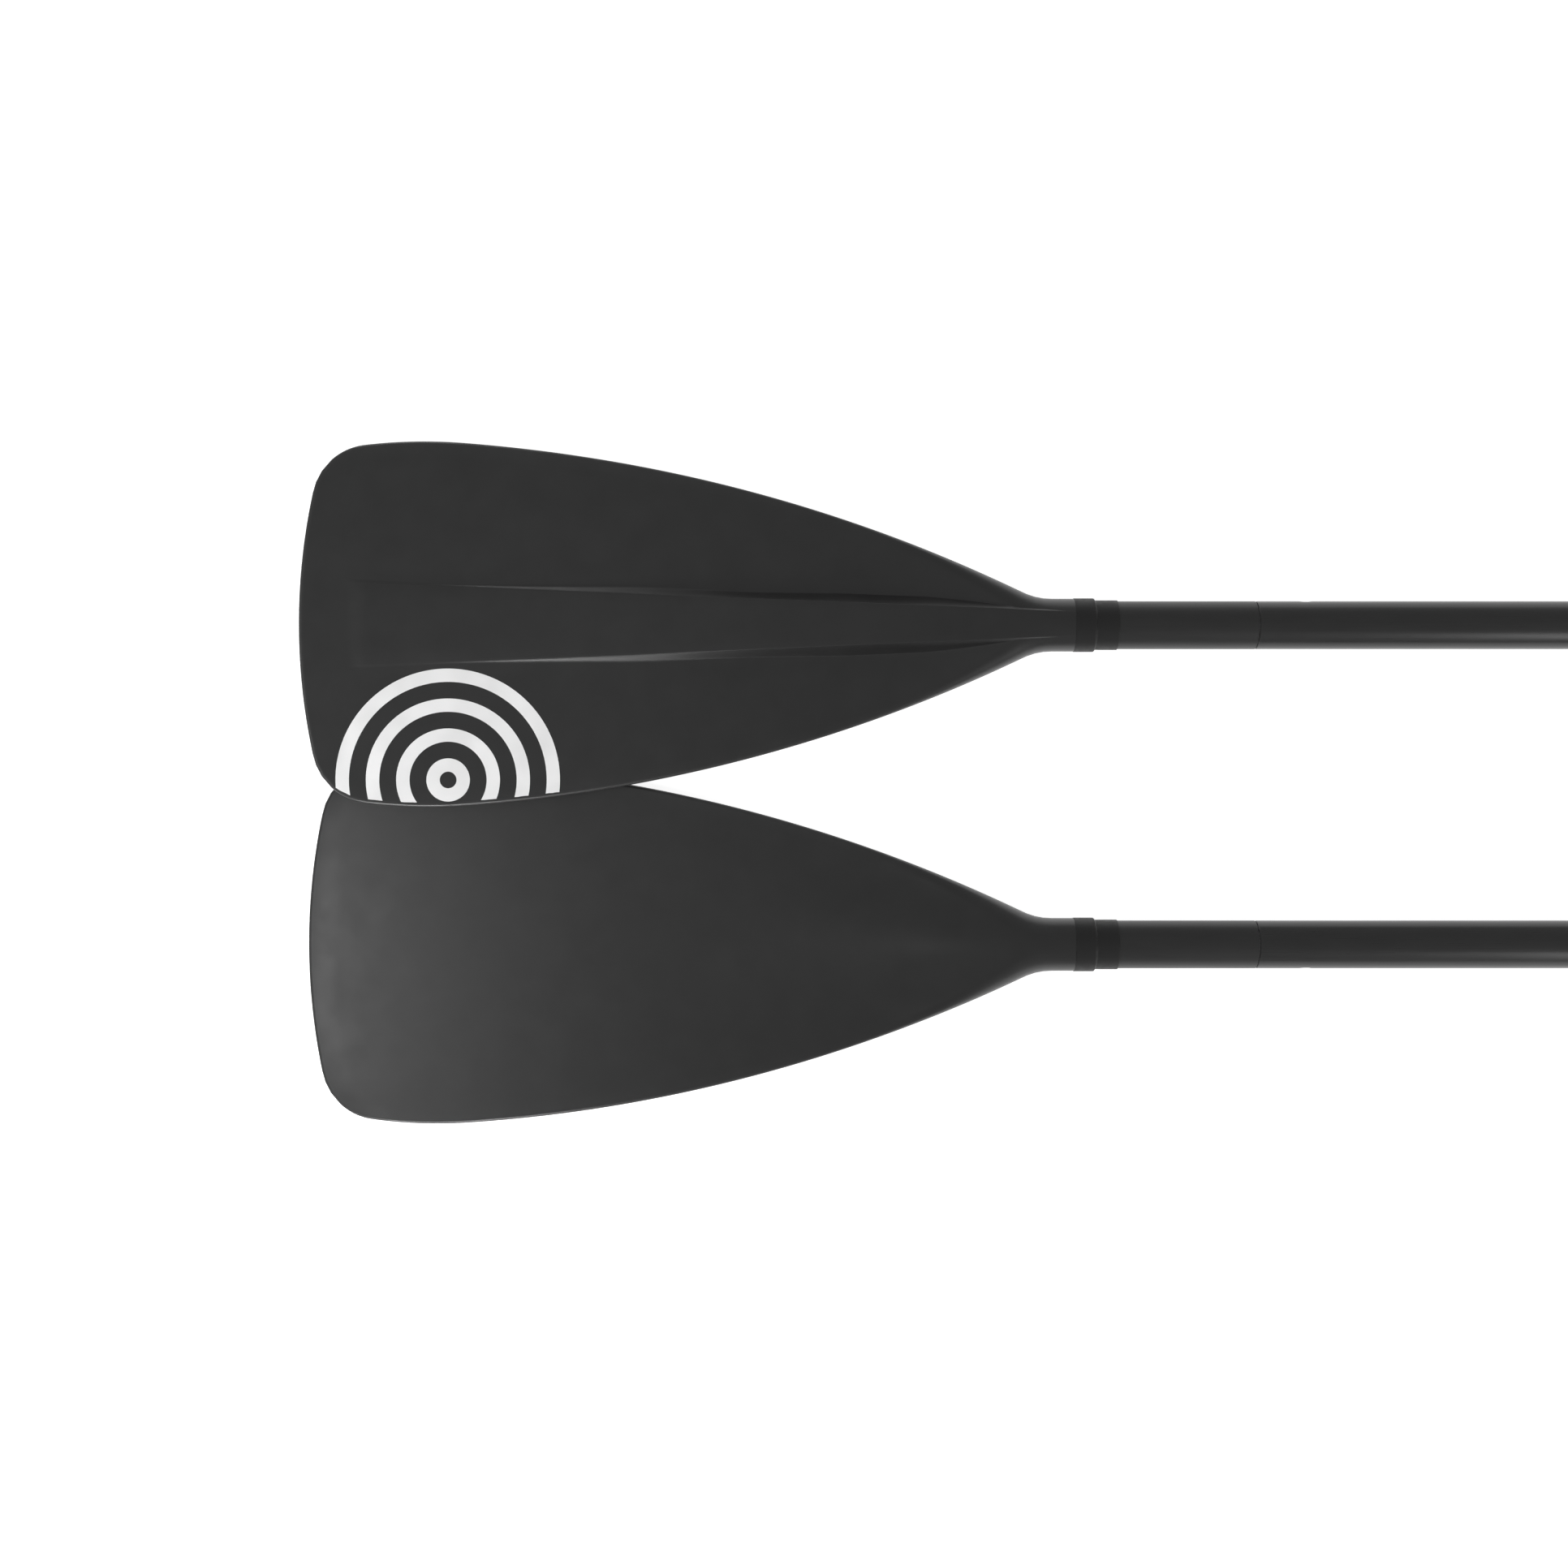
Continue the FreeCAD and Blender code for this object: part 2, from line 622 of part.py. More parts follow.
def make_spring(label, side, x, flange_top, depth, spin):
    """V-shaped leaf between a button and the ferrule's far wall."""
    body = new_body(label)
    sketch = new_sketch(body, "XZ_Plane", "leaf_profile")
    top = f"({flange_top} - flange_thickness - spring_gap)"
    bend = f"(({top} - {depth}) / 2)"
    draw_loop(sketch, (
        ("-spring_back - spring_sheet", bend),
        ("spring_foot - spring_stagger", top),
        ("spring_foot - spring_stagger", f"{top} - spring_sheet"),
        ("-spring_back + spring_sheet", bend),
        ("spring_foot", f"spring_sheet - {depth}"),
        ("spring_foot", f"-{depth}"),
    ))
    leaf = body.newObject("PartDesign::Pad", "leaf")
    leaf.Profile = sketch
    leaf.Midplane = True
    leaf.setExpression("Length", bound("2 * spring_half_width"))
    place(body, side, x, spin)


# ---------------------------------------------------------------- plugs, seal and floats

def make_plug(label, side, x, radius, length):
    plug = doc.addObject("Part::Cylinder", label)
    plug.Label = label
    plug.setExpression("Radius", bound(radius))
    plug.setExpression("Height", bound(length))
    place(plug, side, x, ALONG_X)


def make_seal():
    ring = doc.addObject("Part::Torus", "ferrule_seal")
    ring.Label = "ferrule_seal"
    ring.setExpression("Radius1", bound("seal_ring_radius"))
    ring.setExpression("Radius2", bound("seal_cord_radius"))
    place(ring, "b", "shaft_end + seal_x", ALONG_X)


def make_half(side):
    """The pieces that both halves have."""
    make_blade(side)
    make_sleeve(side)
    make_stub_tube(side)
    make_blade_ferrule(side)
    make_main_shaft(side)
    button_x = "seam_x + blade_button_x"
    label = f"blade_button_{side}"
    make_button(label, side, button_x, "blade_button_top", "blade_flange_top", TO_SIDE)
    label = f"blade_button_spring_{side}"
    make_spring(label, side, button_x, "blade_flange_top", "blade_spring_depth", TO_SIDE)
    make_plug(f"shaft_float_{side}", side, "float_start", "float_radius", "float_length")


def make_centre_joint():
    make_socket_liner()
    bulkhead_x = "shaft_end - socket_length - bulkhead_length - seam_gap"
    make_plug("socket_bulkhead", "a", bulkhead_x, "ferrule_radius", "bulkhead_length")
    make_centre_ferrule()
    make_seal()
    plug_x = "shaft_end + centre_reach - end_plug_length"
    make_plug("ferrule_end_plug", "b", plug_x, "end_plug_radius", "end_plug_length")
    button_x = "shaft_end + centre_button_x"
    make_button(
        "centre_button", "b", button_x, "centre_button_top", "centre_flange_top", TO_POWER_FACE
    )
    make_spring(
        "centre_button_spring", "b", button_x, "centre_flange_top", "centre_spring_depth",
        TO_POWER_FACE,
    )


def check_document():
    for thing in doc.Objects:
        if "Invalid" in thing.State or "Error" in thing.State:
            raise RuntimeError(f"{thing.Label} did not build: {thing.State}")
    for part in parts:
        if part.Shape.isNull() or not part.Shape.isValid():
            raise RuntimeError(f"{part.Label} has no valid shape")
        if len(part.Shape.Solids) != 1:
            raise RuntimeError(f"{part.Label} is {len(part.Shape.Solids)} solids, not one")


for half in HALVES:
    make_half(half)
make_centre_joint()
doc.recompute()
check_document()

os.makedirs("parts", exist_ok=True)
for part in parts:
    part.Shape.exportStep(f"parts/{part.Label}.step")
    print(part.Label, round(part.Shape.Volume / 1000, 2), "cm3")
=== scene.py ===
"""Looks, light and camera of the take-apart kayak paddle.

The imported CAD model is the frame. The moulded blades, the shrink sleeves and the button springs are built
here as finer meshes in the places of their CAD nodes, and a printed mark is added. Every piece gets its
material, and a plain studio is set up.

The blade and its mark are worked out in millimetres in the frame of one half: u runs from the neck's
mouth to the tip, y across, z towards the back face.
"""
import json
import math

import bmesh
import bpy
import numpy as np
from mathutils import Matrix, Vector

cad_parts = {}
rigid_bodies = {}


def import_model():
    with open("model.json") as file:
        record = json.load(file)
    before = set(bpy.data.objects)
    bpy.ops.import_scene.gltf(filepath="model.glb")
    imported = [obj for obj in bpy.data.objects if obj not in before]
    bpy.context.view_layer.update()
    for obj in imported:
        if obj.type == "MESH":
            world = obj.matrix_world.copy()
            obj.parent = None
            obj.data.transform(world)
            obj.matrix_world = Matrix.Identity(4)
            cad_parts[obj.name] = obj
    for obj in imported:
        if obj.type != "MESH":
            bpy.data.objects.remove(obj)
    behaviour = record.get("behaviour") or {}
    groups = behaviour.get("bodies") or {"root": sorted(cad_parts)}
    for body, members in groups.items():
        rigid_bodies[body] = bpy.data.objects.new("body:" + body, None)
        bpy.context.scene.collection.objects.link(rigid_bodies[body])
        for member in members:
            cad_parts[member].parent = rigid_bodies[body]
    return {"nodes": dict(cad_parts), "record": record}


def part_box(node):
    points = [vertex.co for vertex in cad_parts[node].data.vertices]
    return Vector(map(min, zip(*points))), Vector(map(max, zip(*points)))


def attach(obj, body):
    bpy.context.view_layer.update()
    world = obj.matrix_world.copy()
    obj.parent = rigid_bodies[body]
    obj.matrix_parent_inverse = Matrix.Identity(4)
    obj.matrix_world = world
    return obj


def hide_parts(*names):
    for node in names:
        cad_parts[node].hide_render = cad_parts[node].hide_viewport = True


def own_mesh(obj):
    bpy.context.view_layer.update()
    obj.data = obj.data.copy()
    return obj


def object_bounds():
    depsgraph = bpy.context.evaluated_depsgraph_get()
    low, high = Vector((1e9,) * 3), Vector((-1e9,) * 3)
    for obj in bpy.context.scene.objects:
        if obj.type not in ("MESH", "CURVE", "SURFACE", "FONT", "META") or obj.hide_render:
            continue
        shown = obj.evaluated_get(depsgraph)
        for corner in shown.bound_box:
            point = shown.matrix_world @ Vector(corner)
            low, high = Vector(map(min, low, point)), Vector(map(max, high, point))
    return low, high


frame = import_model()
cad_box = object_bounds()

MM = 0.001
TINY = 1e-6
UP_OF_HALF = {"a": 1, "b": -1}
SHARP_ANGLE = 35

# ---------------------------------------------------------------- sizes of the blade, in millimetres

blade_low, blade_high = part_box("blade_a")
LENGTH = (blade_high.x - blade_low.x) / MM
HALF_WIDTH = (blade_high.y - blade_low.y) / 2 / MM
NECK_RADIUS = 16
BORE_RADIUS = 14.55
BORE_DEPTH = 45.5

# Radii of the outline's arcs from the tip to the neck, the turn where the shoulder's arc meets the side's,
# the widest place, and the spacing of the outline's points.
TIP_ARC = 376
CORNER_ARC = 36
SHOULDER_ARC = 300
SHOULDER_TURN = math.radians(4)
SIDE_ARC = 931
FLARE_ARC = 38.3
WIDEST_FROM_TIP = 77
OUTLINE_STEP = 0.25

# The blade leans towards its back face: slowly at first, and more from the bend on.
BEND_START = 270
LEAN_BEND = 4.5
LEAN_TIP = 14
LEAN_EASES_FROM = 35
LEAN_EASES_TO = 115

# Half the skin's thickness at three places, and the stretch where the round neck thins down to it.
HALF_SKIN_NECK = 2.5
HALF_SKIN_BEND = 2.0
HALF_SKIN_TIP = 1.6
NECK_THICK_TO = 15
NECK_THIN_FROM = 175

# Soft ridge on the power face.
RIDGE_START = 15
RIDGE_END = 300
RIDGE_SPREAD = 0.25

# Crest of the spine on the back face: its half width, its height, and how it sinks towards the tip.
CREST_AT_NECK = 6.7
CREST_SPREAD = 0.0414
CREST_HEIGHT = 15.3
CREST_DIP = 1.4
CREST_DIP_TO = 8
CREST_FULL_FROM = 58
CREST_FILLET = 1.5
CREST_SINKS_FROM = 100
CREST_OVER_SKIN = 10.8
CREST_SINK_POWER = 1.9
CREST_LEFT_AT_END = 0.3
CREST_END = 443
CREST_END_WALL = 3
CREST_END_DROP = 1.2

# Side walls of the spine. They are steep by the neck, and slope gently nearer the tip.
WALL_SLOPE = 0.65
WALL_SLOPE_BY_NECK = 1.35
WALL_STEEP_TO = 180
WALL_GENTLE_FROM = 290
WALL_WIDEST = 6
WALL_NARROWEST = 1
LEAST_SLOPE = 0.02
LEAST_SLOPE_BY_NECK = 2.5
LEAST_SLOPE_BY_NECK_TO = 40
LEAST_SLOPE_FROM = 60

# Rounding along the crest's edges and the walls' feet. Towards the neck only a share of it is left. The
# mesh's lines there spread over at most a share of the wall.
CREASE = 0.8
CREASE_CRISP_SHARE = 0.35
CREASE_CRISP_TO = 210
CREASE_SOFT_FROM = 260
CREASE_MOST_OF_WALL = 0.45

# Bevel round the tip of the power face.
TIP_BEVEL = 18
TIP_BEVEL_SHARE = 0.6
TIP_BEVEL_FROM = 425
TIP_BEVEL_FULL_FROM = 455

# Band along the edge that is rounded over, and the rim whose wear the material shows.
EDGE_BAND = 2.4
EDGE_RINGS = 8
RIM = "rim"
RIM_WIDTH = 3

# Rows of the mesh across the blade: to the neck's end, to the flare's end, to where the rows start to
# curve, and to the tip.
NECK_END = 45
FLARE_END = 130
CURVED_FROM = 400
NECK_ROWS = 10
FLARE_ROWS = 35
BLADE_ROWS = 46
TIP_ROWS = 25
TIP_PULL_POWER = 3

# Lines of the mesh along the blade, on one side of the middle line.
CROWN_LINES = 4
CREASE_LINES = 5
FLANK_LINES = 12

# ---------------------------------------------------------------- sizes of the sleeve, in millimetres

SLEEVE_ON_TUBE = 15.03
SLEEVE_IN_NECK = 16.02
SLEEVE_IN_TUBE = 14.52
SLEEVE_STEP = 1.3
SLEEVE_STEP_INSIDE = -0.02
SLEEVE_ROUND = 0.18
SLEEVE_SEGMENTS = 144
SLEEVE_SHARP_ANGLE = 50

# Puckers where the film steps down. Each wave has a count round the sleeve, a relative height and a turn.
SLEEVE_PUCKER = 0.03
SLEEVE_PUCKER_AT = -1.6
SLEEVE_PUCKER_REACH = 1.5
SLEEVE_WAVES = ((11, 1, 0.7), (17, 0.7, 2.1), (29, 0.5, 0))

# Rows of the mesh round the sleeve, closer together at its ends and at the step.
SLEEVE_ROUND_ROWS = 5
SLEEVE_END_GAP = 1
SLEEVE_NECK_ROWS = 8
SLEEVE_NECK_ROWS_TO = 1
SLEEVE_STEP_ROWS = 21
SLEEVE_STEP_ROWS_FROM = 0.8
SLEEVE_STEP_ROWS_TO = -2.4
SLEEVE_TUBE_ROWS = 12
SLEEVE_TUBE_ROWS_FROM = -3

# ---------------------------------------------------------------- sizes of springs and mark, in millimetres

SPRING_SHEET = 0.5
SPRING_BEND = 1.6
SPRING_STAGGER = 1
SPRING_BEND_POINTS = 17
MARK_FROM_TIP = 89
MARK_OFF_MIDDLE = 93.8
MARK_CENTRE = LENGTH - MARK_FROM_TIP - 1j * MARK_OFF_MIDDLE
MARK_RINGS = ((59, 67), (41, 49), (23, 31), (5, 13))
MARK_MARGIN = 2.6
MARK_LIFT = 0.06
MARK_ANGLE_STEP = 0.005
MARK_RADII = 5
MARK_ARC_POINTS = 97

# ---------------------------------------------------------------- studio, in metres and watts

# Width and middle of the picture at the height of the shafts. The lens and the sensor are in millimetres.
VIEW_WIDTH = 0.9503
VIEW_MIDDLE = -0.298
VIEW_MIDDLE_Y = 0.0005
CAMERA_LENS = 50
CAMERA_SENSOR = 36

# Floor, and the sky's strength at the horizon and the zenith. It changes between two heights on a unit
# sphere.
FLOOR_HALF = 30
FLOOR_GAP = 0.0005
FLOOR_GLOW = 0.85
SKY_HORIZON = 0.46
SKY_ZENITH = 0.43
SKY_BRIGHT_TO = 0.1
SKY_DIM_FROM = 0.95

# Four soft lights. The side and the fill light have a narrow spread, in degrees.
TIP_LIGHT = (-1.53, -0.3, 2)
TIP_LIGHT_AIM = (-0.55, -0.12, 0)
TIP_LIGHT_SIZE = (0.35, 0.35)
TIP_LIGHT_POWER = 6.8
SHAFT_LIGHT = (0.85, -0.64, 0.48)
SHAFT_LIGHT_AIM = (0.65, 0, 0)
SHAFT_LIGHT_SIZE = (0.8, 0.5)
SHAFT_LIGHT_POWER = 5.2
NARROW = 60
SIDE_LIGHT = (-0.62, -0.62, 0.3)
SIDE_LIGHT_AIM = (-0.57, 0.05, 0)
SIDE_LIGHT_SIZE = (0.25, 0.15)
SIDE_LIGHT_POWER = 0.46
FILL_LIGHT = (-0.62, 0.8, 0.3)
FILL_LIGHT_AIM = (-0.57, 0.1, 0)
FILL_LIGHT_SIZE = (0.25, 0.15)
FILL_LIGHT_POWER = 0.08

# Middle of each shaft, in metres.
AXIS = {side: sum(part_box(f"main_shaft_{side}"), Vector()) / 2 for side in "ab"}


def to_row(side, u, y, z):
    """Place in the frame of one half, in millimetres, as a place in the row's frame, in metres."""
    up = UP_OF_HALF[side] * MM
    return blade_high.x - u * MM, AXIS[side].y + y * up, AXIS[side].z + z * up


# ---------------------------------------------------------------- curves

def smooth(t):
    """0 to 1 with level ends."""
    t = np.clip(t, 0, 1)
    return t * t * (3 - 2 * t)


def ease(u, start, end):
    """0 at the start and before it, 1 at the end and past it, with level ends. The end may come first."""
    return smooth((u - start) / (end - start))


def soft_max(a, b, reach):
    """The larger of two heights, filleted where they are within reach of each other."""
    near = np.maximum(reach - np.abs(a - b), 0)
    return np.maximum(a, b) + near**2 / (4 * np.maximum(reach, TINY))


def soft_ramp(t, reach):
    """0 before the corner and t after it, rounded within reach."""
    rounded = (t + reach) ** 2 / (4 * reach)
    return np.where(t < -reach, 0, np.where(t > reach, t, rounded))


def arc(centre, radius, start, end):
    """Points u + iy along an arc, and the directions from its centre."""
    count = max(2, int(abs(end - start) * radius / OUTLINE_STEP))
    out = np.exp(1j * np.linspace(start, end, count))
    return centre + radius * out, out


def blade_outline():
    """Points u + iy round one side of the blade from the neck's mouth to the tip, and outward directions."""
    tip = LENGTH - TIP_ARC + 0j
    shoulder = LENGTH - WIDEST_FROM_TIP + 1j * (HALF_WIDTH - SHOULDER_ARC)
    between = shoulder - tip
    gap = abs(between)
    to_tip, to_shoulder = TIP_ARC - CORNER_ARC, SHOULDER_ARC - CORNER_ARC
    along = (to_tip**2 - to_shoulder**2 + gap**2) / (2 * gap)
    corner = tip + between / gap * (along + 1j * math.sqrt(to_tip**2 - along**2))
    outward = 1j * np.exp(1j * SHOULDER_TURN)
    side = shoulder - outward * (SIDE_ARC - SHOULDER_ARC)
    flare_y = NECK_RADIUS + FLARE_ARC
    reach = math.sqrt((SIDE_ARC + FLARE_ARC) ** 2 - (flare_y - side.imag) ** 2)
    flare = side.real - reach + 1j * flare_y
    corner_start = np.angle(corner - shoulder)
    corner_end = np.angle(corner - tip)
    neck = np.arange(0, flare.real, OUTLINE_STEP) + 1j * NECK_RADIUS
    flare_points, flare_in = arc(flare, FLARE_ARC, -math.pi / 2, np.angle(side - flare))
    others = (
        arc(side, SIDE_ARC, np.angle(flare - side), np.angle(outward)),
        arc(shoulder, SHOULDER_ARC, np.angle(outward), corner_start),
        arc(corner, CORNER_ARC, corner_start, corner_end),
        arc(tip, TIP_ARC, corner_end, 0),
    )
    points = np.concatenate([neck, flare_points, *(points for points, _ in others)])
    outs = np.concatenate([np.full(len(neck), 1j), -flare_in, *(out for _, out in others)])
    turn = (corner_start + corner_end) / 2
    corner_middle = corner + CORNER_ARC * np.exp(1j * turn)
    return points, outs, int(np.argmin(np.abs(points - corner_middle)))


EDGE, EDGE_OUT, CORNER_AT = blade_outline()


def half_width(u):
    return np.interp(u, EDGE.real, EDGE.imag)


def distance_to_edge(u, y):
    """How far in from the blade's edge each place is."""
    places = np.ravel(u) + 1j * np.abs(np.ravel(y))
    return np.array([np.abs(EDGE - place).min() for place in places]).reshape(np.shape(u))


# ---------------------------------------------------------------- faces of the blade

def middle_surface(u):
    """The surface halfway through the blade. It leaves the shaft's axis gradually at the neck."""
    rise = LEAN_TIP - LEAN_BEND * LENGTH / BEND_START
    run = np.clip((u - BEND_START) / (LENGTH - BEND_START), 0, None)
    return LEAN_BEND * u / BEND_START * ease(u, LEAN_EASES_FROM, LEAN_EASES_TO) + rise * run**2


def half_thickness(u):
    """Half the blade's thickness away from the spine and the rim: the whole neck, then the thin skin."""
    skin = np.interp(u, (0, BEND_START, LENGTH), (HALF_SKIN_NECK, HALF_SKIN_BEND, HALF_SKIN_TIP))
    fall = ease(u, NECK_THICK_TO, NECK_THIN_FROM)
    return skin + (NECK_RADIUS - skin) * (1 - fall) ** 2


def body_height(u, inset):
    """Height of either face above the middle surface, without spine and ridge."""
    half = half_thickness(u)
    return half * np.sqrt(1 - (1 - np.clip(inset / half, 0, 1)) ** 2)


def ridge_share(u, y):
    """The power face's soft ridge, as a share of the body's height: it carries the neck into the blade."""
    half = half_thickness(u)
    left = 1 - ease(u, RIDGE_START, RIDGE_END)
    spread = np.abs(y) / (NECK_RADIUS + RIDGE_SPREAD * u)
    return (NECK_RADIUS / half - 1) * left**2 * smooth(1 - spread)


def crest_half_width(u):
    return CREST_AT_NECK + CREST_SPREAD * u


def crest_above_skin(u):
    """Height of the spine's crest over the blade's skin, away from the neck."""
    left = np.clip((CREST_END - u) / (CREST_END - CREST_SINKS_FROM), 0, None)
    return CREST_LEFT_AT_END + CREST_OVER_SKIN * left**CREST_SINK_POWER


def crest_height(u):
    """Crest of the spine above the shaft's axis. It rises out of the neck and sinks towards the tip."""
    at_neck = CREST_HEIGHT - CREST_DIP * (1 - ease(u, CREST_DIP_TO, CREST_FULL_FROM))
    skin = middle_surface(u) + half_thickness(np.maximum(u, NECK_THIN_FROM))
    along_blade = skin + crest_above_skin(u)
    end = CREST_END_DROP * ease(u, CREST_END, CREST_END + CREST_END_WALL)
    return -soft_max(-at_neck, -along_blade, CREST_FILLET) - end


def wall_width(u):
    """Plan width of the spine's side wall, which is steep by the neck and then sloping."""
    rise = crest_height(u) - middle_surface(u) - half_thickness(u)
    slope = WALL_SLOPE + (WALL_SLOPE_BY_NECK - WALL_SLOPE) * ease(u, WALL_GENTLE_FROM, WALL_STEEP_TO)
    return np.clip(rise / slope, WALL_NARROWEST, WALL_WIDEST)


def crease(u):
    """How far the spine's edges are rounded, crisper where the walls are steep."""
    soft = ease(u, CREASE_CRISP_TO, CREASE_SOFT_FROM)
    return CREASE * (CREASE_CRISP_SHARE + (1 - CREASE_CRISP_SHARE) * soft)


def face_heights(u, y, inset):
    """Heights of the back face and the power face."""
    middle = middle_surface(u)
    body = body_height(u, inset)
    crest, wall, top = crest_half_width(u), wall_width(u), crest_height(u)
    foot = crest + wall
    base = middle + body_height(u, half_width(u) - foot)
    by_neck = ease(u, LEAST_SLOPE_FROM, LEAST_SLOPE_BY_NECK_TO)
    slope = np.maximum((top - base) / wall, LEAST_SLOPE + LEAST_SLOPE_BY_NECK * by_neck)
    spine = top - slope * soft_ramp(np.abs(y) - crest, crease(u))
    back = soft_max(middle + body, spine, slope * crease(u))
    by_tip = ease(u, TIP_BEVEL_FROM, TIP_BEVEL_FULL_FROM)
    bevel = (1 - np.clip(inset / TIP_BEVEL, 0, 1)) ** 2 * by_tip
    power = middle - body * (1 + ridge_share(u, y) - TIP_BEVEL_SHARE * bevel)
    back = np.where(inset < TINY, middle, back)
    return back, np.where(inset < TINY, middle, power)


# ---------------------------------------------------------------- meshes from rings of points

def join_open(shell, rings):
    """Faces between each two rings that follow one another, each ring with two ends."""
    for a, b in zip(rings, rings[1:]):
        for i in range(len(a) - 1):
            shell.faces.new((a[i], a[i + 1], b[i + 1], b[i]))


def join_closed(shell, rings):
    """Faces between each two rings that follow one another, each ring closed on itself."""
    for a, b in zip(rings, rings[1:]):
        for i in range(len(a)):
            shell.faces.new((a[i - 1], a[i], b[i], b[i - 1]))


def finish_mesh(shell, name, sharp_angle=SHARP_ANGLE):
    """Turn worked-out faces into an object with smooth shading up to an angle, in degrees."""
    bmesh.ops.recalc_face_normals(shell, faces=shell.faces)
    data = bpy.data.meshes.new(name)
    shell.to_mesh(data)
    shell.free()
    data.shade_smooth()
    data.set_sharp_from_angle(angle=math.radians(sharp_angle))
    piece = bpy.data.objects.new(name, data)
    bpy.context.scene.collection.objects.link(piece)
    return piece


# ---------------------------------------------------------------- mesh of the blade

def lines_across(u, side):
    """Places from the middle line to the side, close together at the spine's two creases."""
    crest, foot = crest_half_width(u), crest_half_width(u) + wall_width(u)
    rounding = min(crease(u), wall_width(u) * CREASE_MOST_OF_WALL)
    rounded = rounding * np.linspace(-1, 1, CREASE_LINES)
    crown = np.linspace(0, crest - rounding, CROWN_LINES)[:-1]
    flank = np.linspace(foot + rounding, side, FLANK_LINES)[1:]
    return np.concatenate([crown, crest + rounded, [(crest + foot) / 2], foot + rounded, flank])


def edge_sample(at):
    """Outline points and directions at fractional positions in the outline's list."""
    index = np.arange(len(EDGE))
    point = np.interp(at, index, EDGE.real) + 1j * np.interp(at, index, EDGE.imag)
    out = np.interp(at, index, EDGE_OUT.real) + 1j * np.interp(at, index, EDGE_OUT.imag)
    return point, out / np.abs(out)


def plan_grid():
    """Plan of half a blade inside its edge band, and where its side and its end meet the outline."""
    index = np.arange(len(EDGE))
    stations = np.concatenate([
        np.linspace(0, NECK_END, NECK_ROWS)[:-1],
        np.linspace(NECK_END, FLARE_END, FLARE_ROWS)[:-1],
        np.linspace(FLARE_END, CURVED_FROM, BLADE_ROWS),
    ])
    side_at = list(np.interp(stations, EDGE.real, index))
    rows = []
    for u, at in zip(stations, side_at):
        point, out = edge_sample(at)
        inner = point - EDGE_BAND * out
        y = lines_across(u, inner.imag)
        rows.append(u + (inner.real - u) * (y / inner.imag) ** 2 + 1j * y)
    # Towards the tip the rows bend, until the last one follows the tip's edge.
    start = rows[-1]
    inner_edge = EDGE - EDGE_BAND * EDGE_OUT
    tip_y = lines_across(LENGTH, inner_edge.imag[CORNER_AT])
    tip_at = np.interp(-tip_y, -inner_edge.imag[CORNER_AT:], index[CORNER_AT:])
    tip_points, tip_outs = edge_sample(tip_at)
    last = tip_points - EDGE_BAND * tip_outs
    pull = (start.imag / start.imag[-1]) ** TIP_PULL_POWER
    side_start = side_at[-1]
    for t in np.sin(np.linspace(0, math.pi / 2, TIP_ROWS))[1:]:
        at = side_start + (CORNER_AT - side_start) * t
        point, out = edge_sample(at)
        straight = start * (1 - t) + last * t
        rows.append(straight + pull * (point - EDGE_BAND * out - straight[-1]))
        side_at.append(at)
    return np.array(rows), np.array(side_at), tip_at


def blade_mesh(side):
    """Closed mesh of a blade: both faces, the rounded rim that joins them, and the bore in the neck."""
    rows, side_at, tip_at = plan_grid()
    grid = np.concatenate([np.conj(rows[:, :0:-1]), rows], axis=1)
    inset = distance_to_edge(grid.real, grid.imag)
    back, power = face_heights(grid.real, np.abs(grid.imag), inset)
    half_loop = np.concatenate([side_at, tip_at[-2::-1]])
    points, outs = edge_sample(half_loop)
    points = np.concatenate([points, np.conj(points[-2::-1])])
    outs = np.concatenate([outs, np.conj(outs[-2::-1])])

    shell = bmesh.new()

    def add(u, y, z):
        return np.array([
            shell.verts.new(to_row(side, *place)) for place in zip(np.ravel(u), np.ravel(y), np.ravel(z))
        ], dtype=object).reshape(np.shape(u))

    grids = [add(grid.real, grid.imag, z) for z in (back, power)]
    rim = add(points.real, points.imag, middle_surface(points.real))
    mouth = []
    for face, sheet in enumerate(grids):
        join_open(shell, sheet)
        rings = [rim]
        for k in range(1, EDGE_RINGS):
            inward = EDGE_BAND * (1 - math.cos(math.pi / 2 * k / EDGE_RINGS))
            ring = points - inward * outs
            z = face_heights(ring.real, np.abs(ring.imag), np.full(len(ring), inward))[face]
            rings.append(add(ring.real, ring.imag, z))
        around = [sheet[:, -1], sheet[-1, -2:0:-1], sheet[::-1, 0]]
        rings.append(np.concatenate(around))
        join_open(shell, rings)
        one_end = [ring[0] for ring in rings[:-1]]
        other_end = [ring[-1] for ring in rings[-2::-1]]
        mouth.append(one_end + list(sheet[0, ::-1]) + other_end)
    loop = mouth[0] + mouth[1][-2:0:-1]
    loop.append(loop[0])
    add_bore(shell, side, loop)
    blade = finish_mesh(shell, f"moulded_blade_{side}")
    mark_rim(blade, side)
    return blade


def add_bore(shell, side, loop):
    """Socket for the stub tube, from the closed loop round the neck's mouth inwards."""
    origin = Vector(to_row(side, 0, 0, 0))
    previous = loop
    for depth in (0, BORE_DEPTH):
        ring = []
        for corner in loop[:-1]:
            out = Vector((0, corner.co.y - origin.y, corner.co.z - origin.z)).normalized()
            deep = Vector((depth * MM, 0, 0))
            ring.append(shell.verts.new(origin + out * (BORE_RADIUS * MM) - deep))
        ring.append(ring[0])
        for a, b, c, d in zip(previous, previous[1:], ring[1:], ring):
            shell.faces.new((a, b, c, d))
        previous = ring
    shell.faces.new(previous[:-1])


